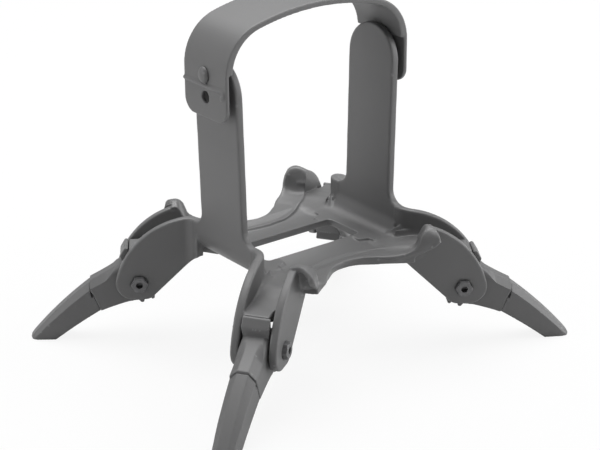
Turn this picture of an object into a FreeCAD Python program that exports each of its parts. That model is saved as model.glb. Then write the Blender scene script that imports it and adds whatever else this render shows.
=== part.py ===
import FreeCAD, Part
import Sketcher
import math
import os

# A folding landing gear for a small camera drone. +X runs from arm to arm, +Y to the rear, +Z up.
# The origin is on the ground, at the centre of the four feet.
# Each leg has a local frame at its pivot: "along" points outward, "across" is to the left of it.

os.makedirs("parts", exist_ok=True)
doc = FreeCAD.newDocument("landing_gear")
V = FreeCAD.Vector

driving = {
    # upright arms and floor
    "arm_width": 25.0,
    "arm_thickness": 3.0,
    "arm_lean": 1.43,
    "arm_face": 34.5,
    "arm_above_stud": 5.6,
    "bend_radius": 6.5,
    "bend_outside": 10.3,
    "floor_height": 38.6,
    "floor_thickness": 2.6,
    "sheet_thickness": 2.2,
    "rim_thickness": 2.7,
    "lip_thickness": 3.1,
    "opening_length": 42.2,
    "opening_width": 17.75,
    "opening_corner": 1.8,
    "flare_radius": 5.0,
    "wall_rise": 10.6,
    "bar_half_width": 26.0,
    "bar_straight": 4.2,
    "trough_depth": 1.2,
    "crease_inset": 6.5,
    "edge_round": 0.6,
    # clevis
    "clevis_out": 11.2,
    "clevis_back": 25.8,
    "pivot_drop": 15.1,
    "leg_turn": 33.44,
    "ear_gap": 10.8,
    "ear_thickness": 3.05,
    "ear_end_radius": 6.5,
    "ear_end_shift": 2.2,
    "ear_root": 22.2,
    "ear_root_drop": 3.8,
    "ear_heel": 3.8,
    "ear_heel_round": 4.0,
    "wall_bend_outside": 4.0,
    "wall_bend_inside": 7.0,
    # tongue between the ears
    "tongue_end": 3.5,
    "tongue_drop": 2.2,
    "tongue_side_gap": 0.5,
    "tongue_free_gap": 1.4,
    "rib_gap": 0.25,
    # hood at the bar's end
    "hood_reach": 15.4,
    "hood_wall": 2.1,
    # leg link
    "knuckle_width": 9.7,
    "knuckle_radius": 6.8,
    "bump_radius": 9.2,
    "stop_gap": 0.25,
    "stop_rise": 0.2,
    "stop_reach": 3.15,
    "stop_toe_drop": 3.3,
    "link_end_along": 18.6,
    "link_end_slant": 3.9,
    "link_end_top_drop": 0.5,
    "link_end_bottom_drop": 12.2,
    "link_bend_along": 12.6,
    "link_bend_rise": 2.75,
    "link_belly_along": 9.0,
    "link_belly_drop": 10.15,
    # foot
    "foot_width": 9.4,
    "foot_step": 0.7,
    "foot_tip": 41.5,
    "foot_flat": 32.0,
    "foot_tip_width": 7.9,
    "foot_shin_along": 30.3,
    "foot_shin_height": 12.35,
    "foot_calf_along": 23.4,
    "foot_calf_height": 6.15,
    "leg_top_round": 2.0,
    "tenon_width": 4.6,
    "tenon_height": 5.0,
    "tenon_length": 6.5,
    "tenon_gap": 0.05,
    "tenon_slant": 30.0,
    # pivot screw and nut
    "screw_diameter": 3.0,
    "thread_core": 2.5,
    "screw_run": 0.05,
    "screw_head_diameter": 5.7,
    "screw_head_height": 1.65,
    "socket_flats": 2.0,
    "socket_depth": 1.0,
    "nut_flats": 5.5,
    "nut_height": 2.4,
    "nut_seat_depth": 0.75,
    "nut_seat_gap": 0.05,
    "nut_hole_depth": 2.1,
    # strap
    "strap_half": 37.1,
    "strap_thickness": 3.0,
    "strap_above_stud": 21.7,
    "strap_top_thickness": 2.1,
    "strap_crown_radius": 100.0,
    "strap_corner_radius": 17.5,
    "strap_below_stud": 15.4,
    "strap_end_round": 5.5,
    "strap_hole": 4.4,
    "stud_height": 109.5,
    "spare_below_stud": 7.9,
    "stud_gap": 0.1,
    "stud_head_height": 6.2,
    "stud_head_width": 5.4,
    "stud_head_rise": 1.6,
    "bead_below_stud": 3.6,
    "bead_width": 0.9,
    "bead_rise": 0.6,
    "bead_start": 11.0,
    "bead_hook": 3.1,
}

sheet = doc.addObject("Spreadsheet::Sheet", "sizes")
for row, (word, value) in enumerate(driving.items(), start=1):
    sheet.set("A%d" % row, word)
    sheet.set("B%d" % row, str(value))
    sheet.setAlias("B%d" % row, word)
doc.recompute()


def size(word):
    return float(getattr(sheet, word))


def outline(items):
    """Curves of a closed outline in a plane. An item is a corner (u, v), a rounded corner (u, v, radius)
    or ("arc", u, v), a point that the stretch to the next corner bends through."""
    corners = []
    via = None
    for item in items:
        if item[0] == "arc":
            via = V(item[1], item[2], 0)
            continue
        radius = item[2] if len(item) > 2 else 0.0
        corners.append([V(item[0], item[1], 0), radius, via])
        via = None
    corners[0][2] = via
    roundings = []
    for i, (point, radius, _) in enumerate(corners):
        if not radius:
            roundings.append((point, None, point))
            continue
        back = (corners[i - 1][0] - point).normalize()
        ahead = (corners[(i + 1) % len(corners)][0] - point).normalize()
        half = back.getAngle(ahead) / 2
        reach = radius / math.tan(half)
        centre = point + (back + ahead).normalize() * (radius / math.sin(half))
        middle = centre + (point - centre).normalize() * radius
        roundings.append((point + back * reach, middle, point + ahead * reach))
    curves = []
    for i, (start, middle, end) in enumerate(roundings):
        last = roundings[i - 1][2]
        bend = corners[i][2]
        if bend:
            curves.append(Part.Arc(last, bend, start))
        elif (start - last).Length > 1e-6:
            curves.append(Part.LineSegment(last, start))
        if middle:
            curves.append(Part.Arc(start, middle, end))
    return curves


upright = FreeCAD.Rotation(V(1, 0, 0), 90)
sideways = FreeCAD.Rotation(V(1, 1, 1), 120)


def slab(items, low, high, turn=None):
    """A solid from an outline: between two heights, or turned to stand along Y (upright) or X (sideways)."""
    face = Part.Face(Part.Wire([curve.toShape() for curve in outline(items)]))
    face.translate(V(0, 0, low))
    solid = face.extrude(V(0, 0, high - low))
    if turn:
        solid.Placement = FreeCAD.Placement(V(0, 0, 0), turn)
    return solid


def standing(items, low, high):
    """A slab whose outline is (along, height) and whose thickness runs across, from low to high."""
    return slab(items, -high, -low, upright)


def add_shape(name, shape):
    feature = doc.addObject("Part::Feature", name)
    feature.Shape = shape
    return feature


def bind(feature, **expressions):
    for prop, expression in expressions.items():
        feature.setExpression(prop, expression)


arm_top = size("stud_height") + size("arm_above_stud")
wall_height = size("floor_height") + size("wall_rise")
floor_bottom = size("floor_height") - size("floor_thickness")
pivot_x = size("arm_face") + size("clevis_out")
pivot_y = size("arm_width") / 2 + size("clevis_back")
pivot_height = size("floor_height") - size("pivot_drop")
ear_root_height = size("floor_height") - size("ear_root_drop")
turn = math.radians(size("leg_turn"))
corner_frame = FreeCAD.Placement(V(pivot_x, pivot_y, 0),
                                 FreeCAD.Rotation(V(0, 0, 1), size("leg_turn")))


def plan(along, across):
    """Where a point of the rear right leg's frame lies in the plan of the whole part."""
    point = corner_frame.multVec(V(along, across, 0))
    return point.x, point.y


inner_ear = size("ear_gap") / 2
outer_ear = inner_ear + size("ear_thickness")
lean = math.tan(math.radians(size("arm_lean")))
wall_reach = size("arm_width") / 2 + size("flare_radius")


def arm_face(height):
    return size("arm_face") + (height - size("floor_height")) * lean


def arm_sheet():
    """One arm with its foot: a bent sheet, trimmed to the rounded outline that the arm has from the side."""
    top = arm_top
    thick = size("arm_thickness") / math.cos(math.radians(size("arm_lean")))
    inside = size("opening_length") / 2
    bent = slab([(inside, floor_bottom),
                 (arm_face(floor_bottom), floor_bottom, size("bend_outside")),
                 (arm_face(top), top),
                 (arm_face(top) - thick, top),
                 (arm_face(size("floor_height")) - thick, size("floor_height"), size("bend_radius")),
                 (inside, size("floor_height"))],
                -wall_reach, wall_reach, upright)
    half = size("arm_width") / 2
    flare = size("flare_radius")
    wall = wall_height
    shoulder = flare * (1 - math.sqrt(0.5))
    side = slab([(-wall_reach, floor_bottom), (-wall_reach, wall),
                 ("arc", -half - shoulder, wall + shoulder), (-half, wall + flare),
                 (-half, top - half), ("arc", 0, top), (half, top - half), (half, wall + flare),
                 ("arc", half + shoulder, wall + shoulder), (wall_reach, wall), (wall_reach, floor_bottom)],
                inside, arm_face(top) + 1, sideways)
    sheet_solid = bent.common(side)
    rims = [edge for edge in sheet_solid.Edges if edge.CenterOfMass.z > wall and edge.Length > 2]
    return sheet_solid.makeFillet(size("edge_round"), rims)


def ear_top_radius():
    """The arc along an ear's top starts level at the root and meets the round end smoothly."""
    run = size("ear_root") + size("ear_end_shift")
    drop = pivot_height - wall_height
    end = size("ear_end_radius")
    return (end ** 2 - run ** 2 - drop ** 2) / (2 * (drop + end))


def ear_outline(inner_end):
    """An ear from the side; inner_end lists the corners from its lower root to its top arc's start."""
    end = size("ear_end_radius")
    top_radius = ear_top_radius()
    top_centre = V(-size("ear_root"), wall_height - top_radius, 0)
    end_centre = V(size("ear_end_shift"), pivot_height, 0)
    meet = top_centre + (end_centre - top_centre).normalize() * top_radius
    meet_angle = math.atan2(meet.y - end_centre.y, meet.x - end_centre.x)
    end_angle = (meet_angle - math.pi / 2) / 2
    start = V(inner_end[-1][0], inner_end[-1][1], 0)
    start_angle = math.atan2(start.y - top_centre.y, start.x - top_centre.x)
    meet_top_angle = math.atan2(meet.y - top_centre.y, meet.x - top_centre.x)
    middle_angle = (start_angle + meet_top_angle) / 2
    return inner_end + [
        ("arc", top_centre.x + top_radius * math.cos(middle_angle),
         top_centre.y + top_radius * math.sin(middle_angle)),
        (meet.x, meet.y),
        ("arc", end_centre.x + end * math.cos(end_angle), end_centre.y + end * math.sin(end_angle)),
        (end_centre.x, end_centre.y - end),
        (-size("ear_heel"), pivot_height - end, size("ear_heel_round"))]


def top_arc_height(along):
    radius = ear_top_radius()
    return wall_height - radius + math.sqrt(radius ** 2 - (along + size("ear_root")) ** 2)


def round_rims(solid, across_faces, along_from):
    """Rounds an ear's rims: the edges that lie on its two side faces, outward of along_from."""
    rims = []
    for edge in solid.Edges:
        middle = edge.CenterOfMass
        flat = edge.BoundBox.YLength < 1e-4
        if flat and middle.x > along_from and min(abs(middle.y - face) for face in across_faces) < 1e-4:
            rims.append(edge)
    return solid.makeFillet(size("edge_round"), rims)


def arm_side_ear():
    """The wall that leaves the arm's edge, bends and becomes the ear next to the arm."""
    root = -size("ear_root")
    inward = root - 3 * size("ear_gap")
    profile = standing(ear_outline([(root, ear_root_height),
                                    (inward, floor_bottom),
                                    (inward, wall_height),
                                    (root, wall_height)]),
                       -2 * outer_ear, 2 * outer_ear)
    profile.Placement = corner_frame.multiply(profile.Placement)
    outside = arm_face(size("floor_height"))
    inside = outside - size("arm_thickness")
    slope = math.tan(turn)

    def meets(face, across):
        """Where the arm's plane x = face crosses the ear's face."""
        x, y = plan(0, across)
        return face, y - (x - face) * slope

    end = size("ear_end_radius") + size("ear_end_shift") + 1
    strip = slab([(outside, wall_reach - 1), meets(outside, -outer_ear) + (size("wall_bend_outside"),),
                  plan(end, -outer_ear), plan(end, -inner_ear),
                  meets(inside, -inner_ear) + (size("wall_bend_inside"),), (inside, wall_reach - 1)],
                 0, wall_height)
    ear = strip.common(profile)
    ear.Placement = corner_frame.inverse().multiply(ear.Placement)
    ear = round_rims(ear.copy(), (-outer_ear, -inner_ear), root + size("wall_bend_inside"))
    ear.Placement = corner_frame.multiply(ear.Placement)
    return ear


hood_back = -17.2
hood_front = -9.8
hood_crease = 43.9
hood_bottom = 37.0
hood_lean = 3.6


def free_ear():
    """The ear at the bar's end. Its inner end leans back above the bar."""
    root = -size("ear_root")
    lean_top = hood_back + hood_lean
    inner_end = [(root, ear_root_height), (root, size("floor_height") - 0.6),
                 (hood_back, size("floor_height")), (hood_back, hood_crease),
                 (lean_top, top_arc_height(lean_top))]
    ear = standing(ear_outline(inner_end), inner_ear, outer_ear)
    ear = round_rims(ear, (inner_ear, outer_ear), hood_back)
    ear.Placement = corner_frame.multiply(ear.Placement)
    return ear


def hood():
    """The bar's sheet rises behind the free ear and curls over it, open below and towards the foot."""
    top = wall_height
    reach = size("hood_reach")
    wall = size("hood_wall")

    def arch(shrink, near):
        """The hood across the ear, as (across, height), pulled in by shrink."""
        return [(near, hood_bottom - 1), (near, top - shrink), (reach - 5.2, top - shrink),
                ("arc", reach - 1.6 - 0.7 * shrink, top - 1.6 - 0.7 * shrink),
                (reach - shrink, top - 5.4), (reach - 0.3 - shrink, 40.4),
                (reach - 2.4 - shrink, hood_bottom - 1)]

    def side(shrink, front):
        """The hood from the side, as (along, height)."""
        return [(hood_back + shrink, hood_bottom - shrink), (hood_back + shrink, hood_crease - shrink / 3),
                (hood_back + hood_lean + shrink * 0.7, top - shrink), (front - 3.2, top - shrink),
                (front, hood_crease - 0.2), (front - 0.4, 39.6), (front - 2.6, hood_bottom - shrink)]

    outer = standing(side(0, hood_front), inner_ear, reach)
    outer = outer.common(slab(arch(0, inner_ear), 2 * hood_back, 0, sideways))
    pocket = standing(side(wall, hood_front + 8), outer_ear, reach)
    pocket = pocket.common(slab(arch(wall, outer_ear), 2 * hood_back, 5, sideways))
    shell = outer.cut(pocket)
    shell.Placement = corner_frame.multiply(shell.Placement)
    return shell


def bar_floor():
    """One quarter of the floor's trough: a thin sheet that dips between its rim and its outer lip."""
    rim = size("opening_width") / 2
    top = size("floor_height")
    low = top - size("trough_depth")
    thick = size("sheet_thickness")
    inner = size("rim_thickness")
    outer = size("lip_thickness")
    lip = size("bar_half_width")
    crease = lip - size("crease_inset")
    end = pivot_y + size("hood_wall")
    section = [(rim, top), ("arc", (rim + crease) / 2, low + 0.2), (crease, low),
               ("arc", (crease + lip) / 2, low + 0.45), (lip, top + 0.2), (end, top + 1.0),
               (end, top + 1.0 - outer), (lip, top + 0.2 - outer), (crease, low - thick),
               (rim, top - inner)]
    sheet_solid = slab(section, 0, pivot_x, sideways)
    shape = slab([(0, rim), (size("opening_length") / 2 + 5, rim), plan(-20, -inner_ear - 1),
                  plan(-15, -inner_ear - 0.6), plan(-15, inner_ear + 1.5), plan(hood_back + 1.6, outer_ear),
                  plan(hood_back + 1.2, size("hood_reach") - 1.2), plan(-22.0, 13.7) + (5.0,),
                  (size("bar_straight"), lip, 11.0), (0, lip)],
                 0, arm_top)
    return sheet_solid.common(shape)


def plateau():
    """The thicker floor at the arm's foot. Its curved front is the crease that runs into the clevis."""
    foot = size("arm_face") - size("bend_radius") - size("arm_thickness")
    half_x = size("opening_length") / 2
    half_y = size("opening_width") / 2
    return slab([(half_x - 3.9, 0), (half_x - 3.9, half_y + 4.7), ("arc", half_x + 4.0, half_y + 8.5),
                 plan(-20.9, -inner_ear + 0.3), plan(-19.0, -inner_ear),
                 plan(-19.0, -inner_ear - 1.5), (arm_face(floor_bottom) - 1.6, wall_reach - 0.1),
                 (foot, wall_reach - 0.6), (foot, 0)],
                floor_bottom, size("floor_height"))


def tongue():
    """The floor between the ears, with a rib under its end that the folded knuckle's bumps hold."""
    half = inner_ear
    end = size("tongue_end")
    root_top = size("floor_height") - 0.8
    end_top = size("floor_height") - size("tongue_drop")
    thick = size("sheet_thickness")
    rib_tip = pivot_height + size("bump_radius") + size("rib_gap")
    side_gap = size("tongue_side_gap")
    free_gap = size("tongue_free_gap")
    rib_top = end_top - thick + 0.4
    side = standing([(-26, root_top), (-10.8, root_top - 0.3), (end, end_top, 0.5), (end, end_top - thick),
                     (0.6, rib_top), (-0.3, rib_tip, 0.4), (-1.7, rib_tip, 0.4), (-2.6, rib_top),
                     (-10.8, root_top - 0.3 - thick), (-26, root_top - thick)],
                    -half, half)
    outline_top = slab([(-26, -half), (-10.8, -half), (-9.2, -half + 1.6), (-5.0, -half + side_gap),
                        (end + 1, -half + side_gap), (end + 1, half - free_gap), (-1.2, half - free_gap),
                        (-5.0, half), (-26, half)],
                       0, arm_top)
    shape = side.common(outline_top)
    shape.Placement = corner_frame.multiply(shape.Placement)
    return shape


def wall_fillet():
    """The hollow rounding between the arm-side ear and the tongue, which runs out along the ear."""
    low = size("floor_height") - 1.4
    wide = 4.2
    sunk = 0.4
    middle = wide * (1 - math.sqrt(0.5))
    section = [(-inner_ear - sunk, low - sunk), (-inner_ear + wide, low - sunk), (-inner_ear + wide, low),
               ("arc", -inner_ear + middle, low + middle), (-inner_ear, low + wide),
               (-inner_ear - sunk, low + wide)]
    filler = slab(section, -24.0, -11.0, sideways)
    trim = standing([(-30.0, low - 1), (-10.5, low - 1), (-17.5, low + wide + 1), (-30.0, low + wide + 1)],
                    -outer_ear, outer_ear)
    filler = filler.common(trim)
    filler.Placement = corner_frame.multiply(filler.Placement)
    return filler


def make_cradle():
    quarter = doc.addObject("Part::MultiFuse", "clevis_quarter")
    quarter.Shapes = [add_shape("arm_side_ear", arm_side_ear()), add_shape("free_ear", free_ear()),
                      add_shape("hood", hood()), add_shape("bar_floor", bar_floor()),
                      add_shape("plateau", plateau()), add_shape("tongue", tongue()),
                      add_shape("wall_fillet", wall_fillet())]
    front = doc.addObject("Part::Mirroring", "front_quarter")
    front.Source = quarter
    front.Normal = V(0, 1, 0)
    neck = doc.addObject("Part::Cylinder", "stud_neck")
    bind(neck, Radius="(sizes.strap_hole / 2 - sizes.stud_gap) * 1 mm",
         Height="(sizes.strap_half + sizes.strap_thickness - sizes.arm_face + 2) * 1 mm")
    neck.Placement = FreeCAD.Placement(V(size("arm_face") - 0.5, 0, size("stud_height")),
                                       FreeCAD.Rotation(V(0, 1, 0), 90))
    head = doc.addObject("Part::Ellipsoid", "stud_head")
    bind(head, Radius1="sizes.stud_head_rise * 1 mm", Radius2="sizes.stud_head_height / 2 * 1 mm",
         Radius3="sizes.stud_head_width / 2 * 1 mm")
    head.Angle1 = 0
    head.Placement = FreeCAD.Placement(
        V(size("strap_half") + size("strap_thickness") + size("stud_gap"), 0, size("stud_height")),
        FreeCAD.Rotation(V(0, 1, 0), 90))
    right = doc.addObject("Part::MultiFuse", "right_half")
    right.Shapes = [quarter, front, add_shape("arm_sheet", arm_sheet()), neck, head]
    left = doc.addObject("Part::Mirroring", "left_half")
    left.Source = right
    left.Normal = V(1, 0, 0)
    body = doc.addObject("Part::MultiFuse", "cradle_body")
    body.Shapes = [right, left]
    half_x = size("opening_length") / 2
    half_y = size("opening_width") / 2
    corner = size("opening_corner")
    opening = add_shape("floor_opening", slab(
        [(half_x, half_y, corner), (-half_x, half_y, corner), (-half_x, -half_y, corner),
         (half_x, -half_y, corner)], 0, wall_height))
    tools = [opening]
    for name, frame, nut_side in corners:
        bore = doc.addObject("Part::Cylinder", "bore_" + name)
        bind(bore, Radius="(sizes.screw_diameter / 2 + sizes.screw_run) * 1 mm",
             Height="(sizes.ear_gap + 4 * sizes.ear_thickness) * 1 mm")
        reach = inner_ear + 2 * size("ear_thickness")
        bore.Placement = frame.multiply(FreeCAD.Placement(V(0, reach, pivot_height), upright))
        seat = doc.addObject("Part::Prism", "nut_seat_" + name)
        seat.Polygon = 6
        bind(seat, Circumradius="(sizes.nut_flats / 2 + sizes.nut_seat_gap) / cos(30) * 1 mm",
             Height="sizes.nut_seat_depth * 2 * 1 mm")
        seat.Placement = frame.multiply(nut_place(nut_side, outer_ear - size("nut_seat_depth")))
        tools += [bore, seat]
    cuts = doc.addObject("Part::MultiFuse", "cradle_cuts")
    cuts.Shapes = tools
    cradle = doc.addObject("Part::Cut", "cradle")
    cradle.Base = body
    cradle.Tool = cuts
    return cradle


def nut_place(side, across):
    """Turns a piece made along +Z so that it points across the leg, on the side given."""
    turned = FreeCAD.Rotation(V(1, 0, 0), -90 * side)
    return FreeCAD.Placement(V(0, side * across, pivot_height), turned)


def corner_placement(side_x, side_y):
    angle = size("leg_turn") * side_x * side_y
    if side_x < 0:
        angle += 180
    return FreeCAD.Placement(V(side_x * pivot_x, side_y * pivot_y, 0),
                             FreeCAD.Rotation(V(0, 0, 1), angle))


# each corner: its name, its frame, and the side across the leg that faces forward, where the nut is
corners = [("front_left", corner_placement(-1, -1), 1), ("front_right", corner_placement(1, -1), -1),
           ("rear_left", corner_placement(-1, 1), 1), ("rear_right", corner_placement(1, 1), -1)]


def new_body(name, placement=None):
    body = doc.addObject("PartDesign::Body", name)
    if placement:
        body.Placement = placement
    return body


def sketch(body, name, role, items=(), circles=(), offset=0.0):
    """A sketch on one of the body's own planes, moved along the plane's normal by offset."""
    drawing = body.newObject("Sketcher::SketchObject", name)
    plane = [feature for feature in body.Origin.OriginFeatures if feature.Role == role][0]
    drawing.AttachmentSupport = [(plane, "")]
    drawing.MapMode = "FlatFace"
    drawing.AttachmentOffset = FreeCAD.Placement(V(0, 0, offset), FreeCAD.Rotation())
    if items:
        drawing.addGeometry(outline(items), False)
    for u, v, expression in circles:
        index = drawing.addGeometry(Part.Circle(V(u, v, 0), V(0, 0, 1), 1.0), False)
        radius = drawing.addConstraint(Sketcher.Constraint("Radius", index, 1.0))
        drawing.setExpression("Constraints[%d]" % radius, expression)
    return drawing


def pad(body, name, drawing, length, symmetric=True):
    feature = body.newObject("PartDesign::Pad", name)
    feature.Profile = drawing
    feature.SideType = "Symmetric" if symmetric else "One side"
    feature.setExpression("Length", length)
    doc.recompute()
    return feature


def pocket(body, name, drawing, length=None, symmetric=True):
    before = body.Shape.Volume
    feature = body.newObject("PartDesign::Pocket", name)
    feature.Profile = drawing
    feature.SideType = "Symmetric" if symmetric else "One side"
    if length:
        feature.setExpression("Length", length)
    else:
        feature.Type = "ThroughAll"
    doc.recompute()
    if not body.Shape.Volume < before - 1e-3:
        raise RuntimeError(name + " cuts nothing")
    return feature


def fillet(body, name, base, radius, wanted):
    """Rounds the edges of the last feature for which wanted(edge) is true."""
    edges = ["Edge%d" % (i + 1) for i, edge in enumerate(base.Shape.Edges) if wanted(edge)]
    feature = body.newObject("PartDesign::Fillet", name)
    feature.Base = (base, edges)
    feature.setExpression("Radius", radius)
    doc.recompute()
    return feature


def hexagon(flats):
    """Corners of a hexagon, given the width across its flats."""
    radius = flats / 2 / math.cos(math.radians(30))
    return [(radius * math.cos(math.radians(60 * i)), radius * math.sin(math.radians(60 * i)))
            for i in range(6)]


def step_line(inset=0.0):
    """Where the link ends and the foot begins, from top to bottom, as (along, height)."""
    along = size("link_end_along")
    top = pivot_height - size("link_end_top_drop")
    middle = top - 5.0
    bottom = pivot_height - size("link_end_bottom_drop")
    low_along = along - size("link_end_slant")
    rise = inset / 2
    slant = (along - 1.2 - low_along) / (middle - bottom)
    return [(along, top - inset), (along - 0.3, top - 3.6), (along - 1.2, middle),
            (low_along + rise * slant, bottom + rise)]


def tenon_corners(gap):
    """The foot's tenon from the side, slanted as the leg is."""
    slant = math.radians(size("tenon_slant"))
    top = pivot_height - size("link_end_top_drop")
    bottom = pivot_height - size("link_end_bottom_drop")
    middle = V(size("link_end_along") - size("link_end_slant") / 2 - 0.3, (top + bottom) / 2, 0)
    inward = V(-math.cos(slant), math.sin(slant), 0)
    rise = V(math.sin(slant), math.cos(slant), 0)
    half = size("tenon_height") / 2 + gap
    end = middle + inward * (size("tenon_length") + gap)
    start = middle - inward * size("tenon_height") / 2
    return [(p.x, p.y) for p in (start + rise * half, end + rise * half, end - rise * half,
                                 start - rise * half)]


def on_circle(angle, radius):
    """A point at an angle and a distance from the pivot, as (along, height)."""
    return (radius * math.cos(math.radians(angle)),
            pivot_height + radius * math.sin(math.radians(angle)))


def make_link(name, placement):
    """The knuckle, with the stop bar on top, two detent bumps below and the socket for the foot."""
    pivot = pivot_height
    barrel = size("knuckle_radius")
    bump = size("bump_radius")
    stop = size("tongue_end") + size("stop_gap")
    stop_top = size("floor_height") - size("tongue_drop") + size("stop_rise")
    toe = stop + size("stop_reach")
    stop_foot = pivot + math.sqrt(barrel ** 2 - stop ** 2)
    body = new_body("link_body_" + name, placement)
    side = sketch(body, "link_side_" + name, "XZ_Plane", [
        (stop, stop_foot), (stop, stop_top - 0.3, 0.4), (stop + 1.2, stop_top, 0.8),
        (toe, stop_top - size("stop_toe_drop"), 0.6), (toe - 1.0, pivot + barrel + 0.1),
        ("arc", size("link_bend_along"), pivot + size("link_bend_rise")), *step_line(),
        ("arc", size("link_belly_along"), pivot - size("link_belly_drop")),
        on_circle(-67.6, bump), on_circle(-85.8, barrel + 1.3), on_circle(-92, bump),
        ("arc",) + on_circle(-95, bump),
        on_circle(-98, bump), on_circle(-105, barrel + 0.5), on_circle(-114, barrel + 0.5),
        on_circle(-120, bump), ("arc",) + on_circle(-123, bump), on_circle(-126, bump),
        on_circle(-136, barrel), ("arc",) + on_circle(-215, barrel)])
    blank = pad(body, "link_blank_" + name, side, "sizes.knuckle_width * 1 mm")
    half = size("knuckle_width") / 2

    def top_rim(edge):
        middle = edge.CenterOfMass
        beyond = middle.x > toe + 0.6 and middle.z > pivot + 0.5
        return abs(abs(middle.y) - half) < 1e-4 and beyond

    def low_rim(edge):
        middle = edge.CenterOfMass
        beyond = toe < middle.x < size("link_bend_along") and middle.z < pivot - barrel
        return abs(abs(middle.y) - half) < 1e-4 and beyond

    rounded = fillet(body, "link_top_round_" + name, blank, "sizes.leg_top_round * 1 mm", top_rim)
    fillet(body, "link_low_round_" + name, rounded, "sizes.edge_round * 1 mm", low_rim)
    pocket(body, "link_socket_" + name,
           sketch(body, "link_socket_side_" + name, "XZ_Plane", tenon_corners(size("tenon_gap"))),
           "(sizes.tenon_width + 2 * sizes.tenon_gap) * 1 mm")
    pocket(body, "link_bore_" + name,
           sketch(body, "link_bore_side_" + name, "XZ_Plane",
                  circles=[(0, pivot, "(sizes.screw_diameter / 2 + sizes.screw_run) * 1 mm")]))
    body.Label = "leg_link_" + name
    return body


def make_foot(name, placement):
    """The tapered lower leg: flat under its end, narrower towards the tip, with a tenon at the top."""
    step = size("foot_step")
    tip = size("foot_tip")
    flat = size("foot_flat")
    half = size("foot_width") / 2
    tip_half = size("foot_tip_width") / 2
    body = new_body("foot_body_" + name, placement)
    side = sketch(body, "foot_side_" + name, "XZ_Plane", [
        *step_line(step)[::-1], ("arc", size("foot_shin_along"), size("foot_shin_height")),
        (tip - 0.1, 0.6), (tip - 0.7, 0), (flat, 0),
        ("arc", size("foot_calf_along"), size("foot_calf_height"))])
    blank = pad(body, "foot_blank_" + name, side, "sizes.foot_width * 1 mm")
    for side_sign in (1, -1):
        trim = sketch(body, "foot_trim_%s_%d" % (name, side_sign + 1), "XY_Plane", [
            (13, 8 * side_sign), (13, half * side_sign), (31, (half + tip_half) / 2 * side_sign),
            (tip - 3.2, tip_half * side_sign), ("arc", tip - 0.8, (tip_half - 1.0) * side_sign),
            (tip + 0.3, 0.8 * side_sign), (tip + 2, 0.8 * side_sign), (tip + 2, 8 * side_sign)])
        blank = pocket(body, "foot_taper_%s_%d" % (name, side_sign + 1), trim)

    def top_rim(edge):
        middle = edge.CenterOfMass
        calf = size("foot_calf_height") + (size("foot_calf_along") - middle.x) * 0.75
        return edge.Length > 5 and abs(middle.y) > tip_half / 2 and middle.z > calf + 4

    blank = fillet(body, "foot_top_round_" + name, blank, "sizes.leg_top_round * 1 mm", top_rim)
    tenon = sketch(body, "foot_tenon_side_" + name, "XZ_Plane", tenon_corners(0.0))
    pad(body, "foot_tenon_" + name, tenon, "sizes.tenon_width * 1 mm")
    body.Label = "foot_" + name
    return body


def make_screw(name, placement, nut_side):
    """A button-head screw. Its end is drawn at the thread's core, where it is in the nut."""
    head = outer_ear
    seat = outer_ear - size("nut_seat_depth")
    radius = size("screw_diameter") / 2
    core = size("thread_core") / 2
    head_radius = size("screw_head_diameter") / 2
    rise = size("screw_head_height")
    end = seat + size("nut_height") - size("nut_hole_depth")
    body = new_body("screw_body_" + name, placement.multiply(nut_place(-nut_side, 0)))
    profile = sketch(body, "screw_profile_" + name, "XZ_Plane", [
        (0, -end), (core, -end), (core, -seat), (radius, -seat), (radius, head), (head_radius, head),
        (head_radius, head + 0.4), ("arc", head_radius * 0.72, head + rise * 0.82), (0, head + rise)])
    turned = body.newObject("PartDesign::Revolution", "screw_turned_" + name)
    turned.Profile = profile
    turned.ReferenceAxis = (profile, ["V_Axis"])
    turned.Angle = 360
    doc.recompute()
    pocket(body, "screw_socket_" + name,
           sketch(body, "screw_socket_plan_" + name, "XY_Plane", hexagon(size("socket_flats")),
                  offset=head + rise), "sizes.socket_depth * 1 mm", symmetric=False)
    body.Label = "pivot_screw_" + name
    return body


def make_nut(name, placement, nut_side):
    """A hexagon nut with its outer corners turned off."""
    body = new_body("nut_body_" + name,
                    placement.multiply(nut_place(nut_side, outer_ear - size("nut_seat_depth"))))
    height = size("nut_height")
    corner = size("nut_flats") / 2 / math.cos(math.radians(30))
    pad(body, "nut_blank_" + name,
        sketch(body, "nut_plan_" + name, "XY_Plane", hexagon(size("nut_flats"))),
        "sizes.nut_height * 1 mm", symmetric=False)
    pocket(body, "nut_hole_" + name,
           sketch(body, "nut_hole_plan_" + name, "XY_Plane",
                  circles=[(0, 0, "sizes.thread_core / 2 * 1 mm")]))
    profile = sketch(body, "nut_corner_" + name, "XZ_Plane", [
        (corner - 0.55, height + 0.01), (corner + 0.3, height - 0.45), (corner + 0.3, height + 0.01)])
    turned = body.newObject("PartDesign::Groove", "nut_chamfer_" + name)
    turned.Profile = profile
    turned.ReferenceAxis = (profile, ["V_Axis"])
    turned.Angle = 360
    doc.recompute()
    body.Label = "pivot_nut_" + name
    return body


def strap_arcs(half, top, crown, corner):
    """Half of an arch with upright sides: where its corner starts, bends and meets the crown."""
    crown_centre = V(0, top - crown, 0)
    across = half - corner
    centre = V(across, crown_centre.y + math.sqrt((crown - corner) ** 2 - across ** 2), 0)
    meet = crown_centre + (centre - crown_centre).normalize() * crown
    angle = math.atan2(meet.y - centre.y, meet.x - centre.x) / 2
    bend = centre + V(math.cos(angle), math.sin(angle), 0) * corner
    return V(half, centre.y, 0), bend, meet


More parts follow.
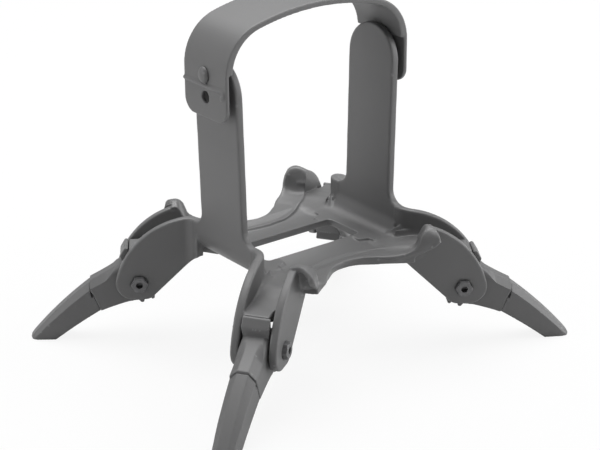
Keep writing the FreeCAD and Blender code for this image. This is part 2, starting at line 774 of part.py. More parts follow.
def make_strap():
    """The strap over the top: upright at its ends, thinner over the crown."""
    half = size("strap_half")
    thick = size("strap_thickness")
    end = size("stud_height") - size("strap_below_stud")
    crown = size("strap_crown_radius")
    corner = size("strap_corner_radius")
    top = size("stud_height") + size("strap_above_stud")
    thin = size("strap_top_thickness")
    inner = strap_arcs(half, top - thin, crown - thin, corner - thin)
    outer = strap_arcs(half + thick, top, crown, corner)
    spare = size("stud_height") - size("spare_below_stud")
    body = new_body("strap_body")
    side = sketch(body, "strap_side", "XZ_Plane", [
        (half + thick, end), (outer[0].x, outer[0].y), ("arc", outer[1].x, outer[1].y),
        (outer[2].x, outer[2].y), ("arc", 0, top), (-outer[2].x, outer[2].y),
        ("arc", -outer[1].x, outer[1].y), (-outer[0].x, outer[0].y), (-half - thick, end), (-half, end),
        (-inner[0].x, inner[0].y), ("arc", -inner[1].x, inner[1].y), (-inner[2].x, inner[2].y),
        ("arc", 0, top - thin), (inner[2].x, inner[2].y), ("arc", inner[1].x, inner[1].y),
        (inner[0].x, inner[0].y), (half, end)])
    blank = pad(body, "strap_band", side, "sizes.arm_width * 1 mm")
    for height, word in ((size("stud_height"), "stud"), (spare, "spare")):
        blank = pocket(body, "strap_hole_" + word,
                       sketch(body, "strap_hole_plan_" + word, "YZ_Plane",
                              circles=[(0, height, "sizes.strap_hole / 2 * 1 mm")]))

    def tab_corner(edge):
        middle = edge.CenterOfMass
        return abs(middle.z - end) < 1e-3 and abs(abs(middle.y) - size("arm_width") / 2) < 1e-3

    blank = fillet(body, "strap_tab_round", blank, "sizes.strap_end_round * 1 mm", tab_corner)
    width = size("bead_width")
    height = size("stud_height") - size("bead_below_stud")
    start = -size("bead_start")
    hook = size("bead_hook")
    back = size("arm_width") / 2
    bend = height + (width - hook) / 2
    bead = sketch(body, "strap_bead_plan", "YZ_Plane", [
        (back, height - width / 2), (back, height + width / 2), (start + 1.5, height + width / 2),
        ("arc", start - 0.6, bend), (start + 1.5, height - hook), (start + 1.5, height - hook + width),
        ("arc", start + 0.3, bend), (start + 1.5, height - width / 2)])
    pad(body, "strap_bead", bead, "2 * (sizes.strap_half + sizes.strap_thickness + sizes.bead_rise) * 1 mm")
    inside = slab([(half + thick / 2, end - 5), (outer[0].x - thick / 2, outer[0].y + 1),
                   (-outer[0].x + thick / 2, outer[0].y + 1), (-half - thick / 2, end - 5)],
                  -size("arm_width"), size("arm_width"), upright)
    strap = doc.addObject("Part::Cut", "strap")
    strap.Base = body
    strap.Tool = add_shape("between_the_ends", inside)
    return strap


pieces = []
cradle = make_cradle()
pieces.append(cradle)
pieces.append(make_strap())
for name, frame, nut_side in corners:
    pieces.append(make_link(name, frame))
    pieces.append(make_foot(name, frame))
    pieces.append(make_screw(name, frame, nut_side))
    pieces.append(make_nut(name, frame, nut_side))
doc.recompute()

for item in doc.Objects:
    if "Invalid" in item.State or "Error" in item.State:
        raise RuntimeError(item.Name + " failed: " + str(item.State))
for piece in pieces:
    shape = piece.Shape
    if shape.isNull() or not shape.isValid():
        raise RuntimeError(piece.Label + " has no valid shape")
    print(piece.Label, len(shape.Solids), round(shape.Volume, 1))
    shape.exportStep("parts/" + piece.Label + ".step")
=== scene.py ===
import bpy
import math
import numpy as np
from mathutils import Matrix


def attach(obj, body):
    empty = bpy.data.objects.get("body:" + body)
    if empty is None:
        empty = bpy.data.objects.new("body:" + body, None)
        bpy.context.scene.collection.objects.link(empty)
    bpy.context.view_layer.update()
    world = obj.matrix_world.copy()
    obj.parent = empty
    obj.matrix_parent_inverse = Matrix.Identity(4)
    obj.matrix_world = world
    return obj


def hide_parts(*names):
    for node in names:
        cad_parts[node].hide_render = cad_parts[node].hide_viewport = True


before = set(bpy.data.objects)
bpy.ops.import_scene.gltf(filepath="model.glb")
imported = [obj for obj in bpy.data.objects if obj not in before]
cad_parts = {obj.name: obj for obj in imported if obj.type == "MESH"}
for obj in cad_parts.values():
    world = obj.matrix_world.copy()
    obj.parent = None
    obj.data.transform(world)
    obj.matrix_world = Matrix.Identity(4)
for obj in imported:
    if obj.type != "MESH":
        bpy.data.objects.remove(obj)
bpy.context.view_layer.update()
print("frame loaded")

mm = 0.001
cornerNames = ("front_left", "front_right", "rear_left", "rear_right")


# camera: the photograph's own place and lens, worked out from the landing gear's size

cameraLook = {
    "place": (-351.5 * mm, -459.7 * mm, 281.9 * mm),
    "turn": 38.347,         # degrees from +Y towards +X
    "down": 22.513,         # degrees below level
    "lens": 102.21,
    "shiftX": -0.0422,
    "shiftY": 0.0090,
}


def makeCamera():
    data = bpy.data.cameras.new("photoCamera")
    data.lens = cameraLook["lens"]
    data.shift_x = cameraLook["shiftX"]
    data.shift_y = cameraLook["shiftY"]
    data.clip_start = 0.01
    camera = bpy.data.objects.new("photoCamera", data)
    camera.location = cameraLook["place"]
    camera.rotation_euler = (math.radians(90 - cameraLook["down"]), 0, -math.radians(cameraLook["turn"]))
    bpy.context.collection.objects.link(camera)
    bpy.context.scene.camera = camera


# node helpers

def addNode(tree, kind, values=None, **settings):
    # settings are the node's own properties, values its inputs, as numbers or as other sockets
    node = tree.nodes.new(kind)
    for key, value in settings.items():
        setattr(node, key, value)
    for key, value in (values or {}).items():
        if isinstance(value, bpy.types.NodeSocket):
            tree.links.new(value, node.inputs[key])
        else:
            node.inputs[key].default_value = value
    return node


def newGroup(name, inputs, outputs):
    group = bpy.data.node_groups.new(name, "ShaderNodeTree")
    for label, kind, value in inputs:
        socket = group.interface.new_socket(label, in_out="INPUT", socket_type=kind)
        if value is not None:
            socket.default_value = value
    for label, kind in outputs:
        group.interface.new_socket(label, in_out="OUTPUT", socket_type=kind)
    return group, group.nodes.new("NodeGroupInput").outputs, group.nodes.new("NodeGroupOutput").inputs


# moulded plastic: cloudy shade, fine grain in the colour and gloss, a spark-eroded surface, and a painted
# highlight on rims with painted shade in hollows

mouldedLook = {
    "cloudSize": 60.0,
    "cloudDetail": 3.0,
    "grainSize": 2600.0,
    "grainDetail": 2.0,
    "grainDepth": 0.1,
    "bumpDistance": 0.1 * mm,
    "rim": (0.51, 0.62),        # pointiness where the painted rim highlight starts, and where it is full
    "hollow": (0.38, 0.49),     # pointiness where the painted hollow shade is darkest, and where it ends
    "hollowPaintedShadeDepth": -0.5,
    # strength of the painted rim highlight and painted hollow shade
    "paintedEdgeLightAndShade": 0.5,
}


def makeMouldedGroup():
    look = mouldedLook
    group, given, result = newGroup("mouldedSurface", [
        ("Shade", "NodeSocketColor", (0.1, 0.1, 0.1, 1)),
        ("Cloud Size", "NodeSocketFloat", look["cloudSize"]),
        ("Cloud Depth", "NodeSocketFloat", 0.1),
        ("Grain Size", "NodeSocketFloat", look["grainSize"]),
        ("Grain Depth", "NodeSocketFloat", look["grainDepth"]),
        ("Roughness", "NodeSocketFloat", 0.5),
        ("Bump", "NodeSocketFloat", 0.1),
        ("Painted Edge Light And Shade", "NodeSocketFloat", look["paintedEdgeLightAndShade"]),
    ], [("Color", "NodeSocketColor"), ("Roughness", "NodeSocketFloat"), ("Normal", "NodeSocketVector")])

    def combine(operation, first, second, **settings):
        node = addNode(group, "ShaderNodeMath", {0: first, 1: second}, operation=operation, **settings)
        return node.outputs[0]

    def swing(value, depth):
        return combine("MULTIPLY", combine("SUBTRACT", value, 0.5), depth)

    place = addNode(group, "ShaderNodeTexCoord").outputs["Object"]
    cloud = addNode(group, "ShaderNodeTexNoise", {"Vector": place, "Scale": given["Cloud Size"],
                                                  "Detail": look["cloudDetail"]})
    grain = addNode(group, "ShaderNodeTexNoise", {"Vector": place, "Scale": given["Grain Size"],
                                                  "Detail": look["grainDetail"]})
    pits = addNode(group, "ShaderNodeTexVoronoi", {"Vector": place, "Scale": given["Grain Size"]},
                   feature="SMOOTH_F1")
    cloudSwing = swing(cloud.outputs["Fac"], given["Cloud Depth"])
    grainSwing = swing(grain.outputs["Fac"], given["Grain Depth"])
    both = combine("ADD", cloudSwing, grainSwing)
    # rims get a painted highlight and hollows a painted shade: a mask from how sharply the surface turns
    turning = addNode(group, "ShaderNodeNewGeometry").outputs["Pointiness"]
    # painted highlight: the colour is lightened where the surface turns sharply outward
    rim = addNode(group, "ShaderNodeMapRange", {"Value": turning, "From Min": look["rim"][0],
                                                "From Max": look["rim"][1], "To Min": 0.0, "To Max": 1.0})
    # painted shade: the colour is darkened in creases and hollows
    hollow = addNode(group, "ShaderNodeMapRange", {"Value": turning, "From Min": look["hollow"][0],
                                                   "From Max": look["hollow"][1],
                                                   "To Min": look["hollowPaintedShadeDepth"], "To Max": 0.0})
    edges = combine("ADD", rim.outputs[0], hollow.outputs[0])
    # the colour's gain carries the painted rim highlight and the painted hollow shade
    gain = combine("ADD", combine("ADD", both, 1.0), combine("MULTIPLY", edges, given["Painted Edge Light And Shade"]))
    shade = addNode(group, "ShaderNodeVectorMath", {0: given["Shade"], 3: gain}, operation="SCALE")
    gloss = combine("ADD", both, given["Roughness"], use_clamp=True)
    bump = addNode(group, "ShaderNodeBump", {"Strength": given["Bump"], "Distance": look["bumpDistance"],
                                             "Height": pits.outputs["Distance"]})
    group.links.new(shade.outputs[0], result["Color"])
    group.links.new(gloss, result["Roughness"])
    group.links.new(bump.outputs["Normal"], result["Normal"])
    return group


mouldedGroup = makeMouldedGroup()


def makePlastic(name, look):
    material = bpy.data.materials.new(name)
    material.use_nodes = True
    tree = material.node_tree
    shader = tree.nodes["Principled BSDF"]
    surface = addNode(tree, "ShaderNodeGroup", node_tree=mouldedGroup)
    surface.inputs["Shade"].default_value = (*look["shade"], 1)
    surface.inputs["Cloud Depth"].default_value = look["cloudDepth"]
    surface.inputs["Roughness"].default_value = look["roughness"]
    surface.inputs["Bump"].default_value = look["bump"]
    tree.links.new(surface.outputs["Color"], shader.inputs["Base Color"])
    tree.links.new(surface.outputs["Roughness"], shader.inputs["Roughness"])
    tree.links.new(surface.outputs["Normal"], shader.inputs["Normal"])
    shader.inputs["Specular IOR Level"].default_value = look["specular"]
    return material


finishes = {
    "cradlePlastic": {"shade": (0.125, 0.125, 0.126), "cloudDepth": 0.10, "roughness": 0.44, "bump": 0.08,
                      "specular": 0.5},
    "legPlastic": {"shade": (0.120, 0.120, 0.121), "cloudDepth": 0.10, "roughness": 0.46, "bump": 0.10,
                   "specular": 0.5},
    "strapPlastic": {"shade": (0.135, 0.135, 0.136), "cloudDepth": 0.08, "roughness": 0.50, "bump": 0.08,
                     "specular": 0.45},
}
plastics = {name: makePlastic(name, look) for name, look in finishes.items()}


# blackened steel: dark oxide, uneven in gloss, with fine turning marks

steelLook = {
    "shade": (0.13, 0.13, 0.133),
    "darkest": 0.8,         # the shade is multiplied by these at the marks' darkest and lightest
    "lightest": 1.25,
    "roughness": 0.38,
    "smoother": 0.08,
    "rougher": 0.12,
    "scratchSize": 900.0,
    "scratchDetail": 4.0,
    "markRange": (0.3, 0.7),
    "bump": 0.15,
    "bumpDistance": 0.05 * mm,
    "metallic": 0.1,
}


def makeBlackSteel(name):
    look = steelLook
    material = bpy.data.materials.new(name)
    material.use_nodes = True
    tree = material.node_tree
    shader = tree.nodes["Principled BSDF"]
    place = addNode(tree, "ShaderNodeTexCoord").outputs["Object"]
    noise = addNode(tree, "ShaderNodeTexNoise", {"Vector": place, "Scale": look["scratchSize"],
                                                 "Detail": look["scratchDetail"]})
    marks = noise.outputs["Fac"]
    tint = addNode(tree, "ShaderNodeValToRGB", {"Fac": marks})
    gains = (look["darkest"], look["lightest"])
    for stop, position, gain in zip(tint.color_ramp.elements, look["markRange"], gains):
        stop.position = position
        stop.color = (*(channel * gain for channel in look["shade"]), 1)
    gloss = addNode(tree, "ShaderNodeMapRange", {"Value": marks,
                                                 "To Min": look["roughness"] - look["smoother"],
                                                 "To Max": look["roughness"] + look["rougher"]})
    bump = addNode(tree, "ShaderNodeBump", {"Strength": look["bump"], "Distance": look["bumpDistance"],
                                            "Height": marks})
    tree.links.new(tint.outputs["Color"], shader.inputs["Base Color"])
    tree.links.new(gloss.outputs["Result"], shader.inputs["Roughness"])
    tree.links.new(bump.outputs["Normal"], shader.inputs["Normal"])
    shader.inputs["Metallic"].default_value = look["metallic"]
    return material


blackSteel = makeBlackSteel("blackSteel")
print("materials made")


# the mouldings: each follows its CAD piece, with the soft edges and hollow blends of a moulded part

mouldings = {
    # voxel is the even skin's cell, smoothing how often it is relaxed, share how many of its faces are kept
    "cradle": {"voxel": 0.36 * mm, "smoothing": 4, "share": 0.42},
    "strap": {"voxel": 0.33 * mm, "smoothing": 2, "share": 0.6},
    "leg": {"voxel": 0.27 * mm, "smoothing": 3, "share": 0.6},
    "mergeWithin": 0.01 * mm,
    "relaxFactor": 0.5,
}


# where each leg's frame stands, in millimetres, and how far it is turned from +X, in degrees
legFrame = {"x": 45.7, "y": 38.3, "turn": 33.44}


def looseArrays(mesh):
    return readPoints(mesh), [tuple(face.vertices) for face in mesh.polygons]


def joinArrays(parts):
    # one mesh from several closed shells: points stacked, face numbers moved on by the points before them
    points, faces, start = [], [], 0
    for partPoints, partFaces in parts:
        points.append(partPoints)
        faces += [tuple(index + start for index in face) for face in partFaces]
        start += len(partPoints)
    mesh = bpy.data.meshes.new("joined")
    mesh.from_pydata(np.concatenate(points).tolist(), [], faces)
    mesh.update()
    return mesh


def evaluateCopy(piece):
    return bpy.data.meshes.new_from_object(piece.evaluated_get(bpy.context.evaluated_depsgraph_get()))


def readPoints(mesh):
    points = np.empty(len(mesh.vertices) * 3)
    mesh.vertices.foreach_get("co", points)
    return points.reshape(-1, 3)


# the flats along a leg's back; along and across are in millimetres in the leg's frame
legFacets = {
    "flatHalf": 2.0,
    "slope": 1.0,
    "startAlong": 8.0,
    "fullAlong": 12.5,
    "slices": 160,
    "leastDrop": 0.03,
}


def facetLeg(points, corner):
    # along the leg's back: height <= ridge(along) - slope * (|across| - flatHalf), where ridge is the
    # highest point of each slice across the leg
    sideX = -1 if "left" in corner else 1
    sideY = -1 if "front" in corner else 1
    turn = math.radians(legFrame["turn"])
    x = points[:, 0] * sideX / mm - legFrame["x"]
    y = points[:, 1] * sideY / mm - legFrame["y"]
    along = x * math.cos(turn) + y * math.sin(turn)
    across = np.abs(y * math.cos(turn) - x * math.sin(turn))
    height = points[:, 2] / mm
    edges = np.linspace(along.min(), along.max(), legFacets["slices"])
    sliceNumber = np.digitize(along, edges) - 1
    top = np.full(legFacets["slices"], -1.0)
    np.maximum.at(top, sliceNumber, height)
    ridge = np.interp(along, edges + (edges[1] - edges[0]) / 2, top)
    start = legFacets["startAlong"]
    blend = np.clip((along - start) / (legFacets["fullAlong"] - start), 0, 1)
    drop = legFacets["slope"] * np.maximum(across - legFacets["flatHalf"], 0) * blend
    lowered = np.minimum(height, ridge - drop)
    points[:, 2] = np.where(drop > legFacets["leastDrop"], lowered, height) * mm


def soften(node, name, look, material, body, cutters=(), added=(), corner=None):
    # a copy of a CAD piece, remade as one even skin with what is added, relaxed so that every edge is
    # round, and thinned where it is flat
    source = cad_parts[node]
    mesh = source.data.copy()
    mesh.transform(source.matrix_world)
    piece = bpy.data.objects.new(name, mesh)
    bpy.context.collection.objects.link(piece)
    merge = piece.modifiers.new("merge", "WELD")
    merge.merge_threshold = mouldings["mergeWithin"]
    for cutter in cutters:
        cut = piece.modifiers.new("cut", "BOOLEAN")
        cut.operation = "DIFFERENCE"
        cut.solver = "EXACT"
        cut.object = cutter
    if added:
        base = evaluateCopy(piece)
        piece.modifiers.clear()
        piece.data = joinArrays([looseArrays(base), *added])
    skin = piece.modifiers.new("skin", "REMESH")
    skin.mode = "VOXEL"
    skin.voxel_size = look["voxel"]
    skin.use_smooth_shade = True
    if corner:
        shaped = evaluateCopy(piece)
        points = readPoints(shaped)
        facetLeg(points, corner)
        shaped.vertices.foreach_set("co", points.ravel())
        piece.modifiers.clear()
        piece.data = shaped
    relax = piece.modifiers.new("relax", "SMOOTH")
    relax.factor = mouldings["relaxFactor"]
    relax.iterations = look["smoothing"]
    thin = piece.modifiers.new("thin", "DECIMATE")
    thin.ratio = look["share"]
    finished = evaluateCopy(piece)
    piece.modifiers.clear()
    piece.data = finished
    finished.materials.clear()
    finished.materials.append(material)
    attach(piece, body)
    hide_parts(node)
    print(name, len(finished.polygons), "faces")
    return piece


# the hood sheets: each bar's outer half runs on into a hood that curls up and over the end of the free ear

hoodSheet = {
    "thickness": 2.1,
    "alongCount": 66,
    "acrossCount": 34,
    # each row crosses the sheet from its crease to its free edge; the first rows are (x, y, z) on the bar
    "barRows": [
        [(-1, 19.4, 38.3), (-1, 21.4, 37.8), (-1, 23.8, 38.0), (-1, 25.7, 38.7), (-1, 26.2, 37.7),
         (-1, 26.0, 36.6)],
        [(4.5, 19.9, 38.3), (4.4, 21.9, 37.8), (4.3, 24.3, 38.0), (4.1, 26.6, 38.7), (4.0, 27.1, 37.7),
         (4.0, 26.9, 36.6)],
        [(9.5, 20.7, 38.3), (9.2, 23.4, 37.9), (8.9, 26.2, 38.1), (8.4, 28.6, 38.8), (8.2, 29.0, 37.8),
         (8.2, 28.7, 36.6)],
    ],
    # the others are (along, across, height) in the leg's frame, up the back wall and over to the rim
    "hoodRows": [
        [(-33, 4.2, 38.8), (-33, 7.0, 38.3), (-33, 10.0, 38.4), (-33, 12.6, 38.9), (-33.1, 13.1, 37.8),
         (-33.2, 12.8, 36.6)],
        [(-27, 4.3, 39.6), (-27, 7.4, 39.2), (-27, 10.8, 39.35), (-27, 13.7, 39.5), (-27, 14.3, 38.1),
         (-27.1, 14.0, 36.8)],
        [(-22.3, 4.5, 39.9), (-22.3, 7.8, 39.4), (-22.3, 11.0, 39.7), (-22.1, 13.6, 40.4),
         (-22, 14.2, 39.0), (-22, 13.4, 37.2)],
        [(-19.4, 5.0, 40.1), (-19.3, 8.1, 39.8), (-19.2, 11.2, 40.6), (-18.9, 13.8, 42.1),
         (-18.8, 14.3, 40.4), (-18.8, 13.4, 38.4)],
        [(-17.6, 5.4, 41.4), (-17.6, 8.3, 41.5), (-17.7, 11.3, 42.6), (-17.8, 13.8, 44.4),
         (-16.6, 14.8, 42.4), (-16.0, 14.4, 40.3)],
        [(-16.5, 5.4, 45.0), (-16.5, 8.3, 45.3), (-16.5, 11.0, 46.2), (-16.6, 13.4, 47.0),
         (-14.6, 14.9, 44.5), (-13.6, 15.0, 41.8)],
        [(-14.9, 5.4, 47.7), (-14.9, 8.3, 48.8), (-14.8, 10.6, 49.0), (-14.4, 12.5, 48.6),
         (-12.8, 14.6, 46.4), (-11.6, 15.6, 43.4)],
        [(-12.5, 5.4, 47.9), (-12.5, 8.4, 48.9), (-11.9, 10.8, 49.0), (-10.9, 13.0, 48.0),
         (-10.3, 14.8, 46.6), (-10.4, 15.6, 44.9)],
    ],
    # what the CAD piece has in the hood's place, as boxes in the leg's frame
    "cleared": [((-19.0, -5.0), (8.6, 17.5), (35.0, 50.5)), ((-18.5, -12.0), (4.8, 8.7), (46.6, 50.5))],
}

# the floor between the ears: it leaves the bar level, dips to the tongue and rounds up into the arm's ear
saddleSheet = {
    "thickness": 1.6,
    "alongCount": 44,
    "acrossCount": 26,
    "rows": [
        [(-37, -9, 37.3), (-36, -7, 37.3), (-35, -4.5, 37.2), (-34, -2, 37), (-33.5, 1, 37),
         (-33, 4.6, 37.2)],
        [(-31.5, -9.2, 38.2), (-31.5, -7, 38.2), (-31, -4.5, 38.3), (-30.5, -2, 38.2), (-30, 1, 38.1),
         (-30, 4.6, 38.4)],
        [(-27.5, -8.8, 39.0), (-27.5, -7, 38.7), (-27.5, -4.6, 38.65), (-27.5, -2, 38.5),
         (-27.5, 1, 38.6), (-27.5, 4.6, 38.95)],
        [(-23, -7.4, 42.2), (-22.6, -6.2, 40.4), (-22, -4.6, 39.1), (-22, -2, 38.75), (-22, 1, 38.85),
         (-22, 4.8, 39.25)],
        [(-17.5, -6.4, 42.6), (-17.2, -5.7, 40.9), (-17, -4.6, 39.4), (-17, -2, 39.1), (-17, 1, 39.2),
         (-17, 5.4, 39.4)],
        [(-13, -6.0, 40.4), (-13, -5.6, 39.4), (-13, -4.7, 38.7), (-13, -2, 38.55), (-13, 1, 38.6),
         (-13, 5.4, 38.7)],
        [(-9.2, -5.2, 37.8), (-9.2, -4.9, 37.75), (-9.2, -4.3, 37.7), (-9.2, -2, 37.7),
         (-9.2, 1, 37.7), (-9.2, 5.0, 37.7)],
        [(-4.5, -4.8, 37), (-4.5, -4.6, 37), (-4.5, -4, 37), (-4.5, -2, 37), (-4.5, 1, 37),
         (-4.5, 4.5, 37)],
        [(-2.5, -4.8, 36.4), (-2.5, -4.6, 36.4), (-2.5, -4, 36.4), (-2.5, -2, 36.4), (-2.5, 1, 36.4),
         (-2.5, 4.0, 36.4)],
    ],
}


def throughPoints(points, count):
    # a cubic through the points along their first axis: four neighbours blended by powers of the parameter t
    padded = np.concatenate([2 * points[:1] - points[1:2], points, 2 * points[-1:] - points[-2:-1]])
    place = np.linspace(0, len(points) - 1, count)
    index = np.minimum(place.astype(int), len(points) - 2)
    t = (place - index).reshape((-1,) + (1,) * (points.ndim - 1))
    a, b, c, d = (padded[index + step] for step in range(4))
    square, cube = 2 * a - 5 * b + 4 * c - d, 3 * b - a - 3 * c + d
    return 0.5 * (2 * b + (c - a) * t + square * t ** 2 + cube * t ** 3)


def cornerPoints(local):
    # leg frame to the whole part, rear right: x = x0 + along cos - across sin,
    # y = y0 + along sin + across cos
    turn = math.radians(legFrame["turn"])
    along, across, height = np.moveaxis(local, -1, 0)
    x = legFrame["x"] + along * math.cos(turn) - across * math.sin(turn)
    y = legFrame["y"] + along * math.sin(turn) + across * math.cos(turn)
    return np.stack([x, y, height], axis=-1)


def mirrored(points, faces, sideX, sideY):
    turned = [face[::-1] for face in faces] if sideX * sideY < 0 else faces
    return points * (sideX, sideY, 1) * mm, turned


def closedSheet(top, thickness):
    # a grid of points made a closed plate: its lower side is the upper one less thickness times the normal
    alongStep = np.gradient(top, axis=0)
    acrossStep = np.gradient(top, axis=1)
    normal = np.cross(alongStep, acrossStep)
    normal /= np.linalg.norm(normal, axis=2, keepdims=True)
    rows, columns = top.shape[:2]
    under = top - normal * thickness
    number = np.arange(rows * columns).reshape(rows, columns)
    low = number + rows * columns
    faces = np.stack([number[:-1, :-1], number[1:, :-1], number[1:, 1:], number[:-1, 1:]], axis=-1)
    faces = faces.reshape(-1, 4)
    lowFaces = faces[:, ::-1] + rows * columns
    rim = np.concatenate([number[0, :-1], number[:-1, -1], number[-1, :0:-1], number[:0:-1, 0]])
    lowRim = np.concatenate([low[0, :-1], low[:-1, -1], low[-1, :0:-1], low[:0:-1, 0]])
    band = np.stack([rim, np.roll(rim, -1), np.roll(lowRim, -1), lowRim], axis=-1)
    points = np.concatenate([top.reshape(-1, 3), under.reshape(-1, 3)])
    return points, [tuple(face) for face in np.concatenate([faces, lowFaces, band]).tolist()]


def makeSheet(rows, look):
    # a surface of two parameters: a cubic through the rows, then one through the points of each row
    grid = throughPoints(rows, look["alongCount"])
    grid = throughPoints(grid.swapaxes(0, 1), look["acrossCount"]).swapaxes(0, 1)
    points, faces = closedSheet(grid, look["thickness"])
    return [mirrored(points, faces, sideX, sideY) for sideX in (-1, 1) for sideY in (-1, 1)]


def makeHoodSheets():
    bar = np.array(hoodSheet["barRows"], float)
    hood = cornerPoints(np.array(hoodSheet["hoodRows"], float))
    saddle = cornerPoints(np.array(saddleSheet["rows"], float))
    return makeSheet(np.concatenate([bar, hood]), hoodSheet) + makeSheet(saddle, saddleSheet)


def makeHoodCutter(room):
    faces = [(0, 1, 3, 2), (4, 6, 7, 5), (0, 4, 5, 1), (2, 3, 7, 6), (0, 2, 6, 4), (1, 5, 7, 3)]
    corners = np.stack(np.meshgrid(*room, indexing="ij"), axis=-1).reshape(-1, 3)
    boxes = [mirrored(cornerPoints(corners), faces, sideX, sideY) for sideX in (-1, 1) for sideY in (-1, 1)]
    cutter = bpy.data.objects.new("hoodRoom", joinArrays(boxes))
    bpy.context.collection.objects.link(cutter)
    return cutter


hoodCutters = [makeHoodCutter(room) for room in hoodSheet["cleared"]]
soften("cradle", "cradleShell", mouldings["cradle"], plastics["cradlePlastic"], "cradle", hoodCutters,
       makeHoodSheets())
for cutter in hoodCutters:
    bpy.data.objects.remove(cutter)


# the raised line across each strap end: straight from the rear edge, then a hook that turns back
# under itself, in millimetres

beadLine = {
    "outFrom": 40.2,
    "height": 105.95,
    "rear": 12.3,
    "hookStart": -9.6,
    "hookRadius": 1.15,
    "radius": 0.62,
    "sides": 12,
    "straightSteps": 40,
    "hookSteps": 14,
}


def carriedCircle(path, radius, sides):
    # a circle square to the path: centre + radius * (side cos a + up sin a), closed by a face at each end
    ahead = np.gradient(path, axis=0)
    ahead /= np.linalg.norm(ahead, axis=1, keepdims=True)
    side = np.cross(ahead, (1.0, 0.0, 0.0))
    up = np.cross(side, ahead)
    angle = np.linspace(0, 2 * math.pi, sides, endpoint=False)[None, :, None]
    rings = path[:, None] + radius * (side[:, None] * np.cos(angle) + up[:, None] * np.sin(angle))
    number = np.arange(len(path) * sides).reshape(len(path), sides)
    around = np.roll(number, -1, axis=1)
    faces = np.stack([number[:-1], number[1:], around[1:], around[:-1]], axis=-1).reshape(-1, 4).tolist()
    faces += [number[0].tolist(), number[-1, ::-1].tolist()]
    return rings.reshape(-1, 3), [tuple(face) for face in faces]


def makeBeadLines():
    # the hook: across = start + radius cos a, height = radius sin a - radius, a from a quarter turn to three
    turn = np.linspace(math.pi / 2, 3 * math.pi / 2, beadLine["hookSteps"])
    hook = beadLine["hookRadius"]
    straight = np.linspace(beadLine["rear"], beadLine["hookStart"], beadLine["straightSteps"])[:-1]
    across = np.concatenate([straight, beadLine["hookStart"] + hook * np.cos(turn)])
    height = np.concatenate([np.zeros(len(straight)), hook * np.sin(turn) - hook]) + beadLine["height"]
    path = np.stack([np.full(len(across), beadLine["outFrom"]), across, height], axis=1)
    points, faces = carriedCircle(path, beadLine["radius"], beadLine["sides"])
    return [mirrored(points, faces, side, 1) for side in (-1, 1)]


soften("strap", "strapBand", mouldings["strap"], plastics["strapPlastic"], "cradle", added=makeBeadLines())
for corner in cornerNames:
    for node in ("leg_link_", "foot_"):
        soften(node + corner, node.replace("_", "") + "Moulding_" + corner, mouldings["leg"],
               plastics["legPlastic"], "leg_" + corner, corner=corner)
    for node in ("pivot_screw_", "pivot_nut_"):
        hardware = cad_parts[node + corner]
        hardware.data.materials.clear()
        hardware.data.materials.append(blackSteel)
print("mouldings made")


# floor, lamps and backdrop

studio = {
    "floorSize": 6.0,
    "floorShade": (0.6, 0.6, 0.6, 1),
    "floorRoughness": 0.9,
    "floorGlow": 0.88,      # how much of the floor that the camera sees is plain white
    "worldShade": (1.0, 1.0, 1.0, 1),
    "worldStrength": 0.16,
    "lamps": {
        "overhead": {"place": (0.15, 0.35, 1.3), "target": (0, 0, 0.05), "width": 1.3, "power": 29.0},
        "frontRight": {"place": (1.1, -0.75, 0.55), "target": (0, 0, 0.06), "width": 1.3, "power": 17.0},
        "left": {"place": (-1.3, 0.55, 0.5), "target": (0, 0, 0.06), "width": 0.9, "power": 6.5},
    },
}


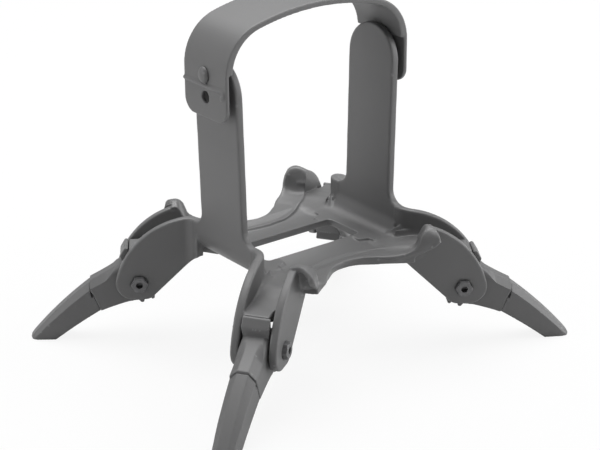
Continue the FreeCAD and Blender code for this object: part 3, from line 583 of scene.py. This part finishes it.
def makeFloor():
    half = studio["floorSize"] / 2
    mesh = bpy.data.meshes.new("floor")
    corners = [(-half, -half, 0), (half, -half, 0), (half, half, 0), (-half, half, 0)]
    mesh.from_pydata(corners, [], [(0, 1, 2, 3)])
    floor = bpy.data.objects.new("floor", mesh)
    bpy.context.collection.objects.link(floor)
    material = bpy.data.materials.new("paleFloor")
    material.use_nodes = True
    tree = material.node_tree
    shader = tree.nodes["Principled BSDF"]
    shader.inputs["Base Color"].default_value = studio["floorShade"]
    shader.inputs["Roughness"].default_value = studio["floorRoughness"]
    shader.inputs["Specular IOR Level"].default_value = 0.0
    glow = addNode(tree, "ShaderNodeEmission", {"Color": (1, 1, 1, 1), "Strength": 1.0})
    path = addNode(tree, "ShaderNodeLightPath")
    share = addNode(tree, "ShaderNodeMath", {0: path.outputs["Is Camera Ray"], 1: studio["floorGlow"]},
                    operation="MULTIPLY")
    mix = addNode(tree, "ShaderNodeMixShader", {0: share.outputs[0], 1: shader.outputs[0],
                                                2: glow.outputs[0]})
    tree.links.new(mix.outputs[0], tree.nodes["Material Output"].inputs["Surface"])
    mesh.materials.append(material)


def makeBackdrop():
    # what the camera sees behind the floor is white, and what lights the piece is a faint even glow
    world = bpy.data.worlds.new("studio")
    bpy.context.scene.world = world
    world.use_nodes = True
    tree = world.node_tree
    tree.nodes.clear()
    light = addNode(tree, "ShaderNodeBackground", {"Color": studio["worldShade"],
                                                   "Strength": studio["worldStrength"]})
    white = addNode(tree, "ShaderNodeBackground", {"Color": (1, 1, 1, 1), "Strength": 1.0})
    path = addNode(tree, "ShaderNodeLightPath").outputs
    seen = addNode(tree, "ShaderNodeMath", {0: path["Is Camera Ray"], 1: path["Is Transmission Ray"]},
                   operation="MAXIMUM")
    mix = addNode(tree, "ShaderNodeMixShader", {0: seen.outputs[0], 1: light.outputs[0],
                                                2: white.outputs[0]})
    addNode(tree, "ShaderNodeOutputWorld", {"Surface": mix.outputs[0]})


def makeLamps():
    for name, look in studio["lamps"].items():
        lamp = bpy.data.lights.new(name, "AREA")
        lamp.size = look["width"]
        lamp.energy = look["power"]
        holder = bpy.data.objects.new(name, lamp)
        holder.location = look["place"]
        aim = np.array(look["target"]) - np.array(look["place"])
        level = math.hypot(aim[0], aim[1])
        holder.rotation_euler = (math.atan2(level, -aim[2]), 0, math.atan2(aim[1], aim[0]) - math.pi / 2)
        bpy.context.collection.objects.link(holder)


makeCamera()
makeFloor()
makeBackdrop()
makeLamps()
print("studio made")
bpy.context.scene.view_settings.view_transform = "Standard"
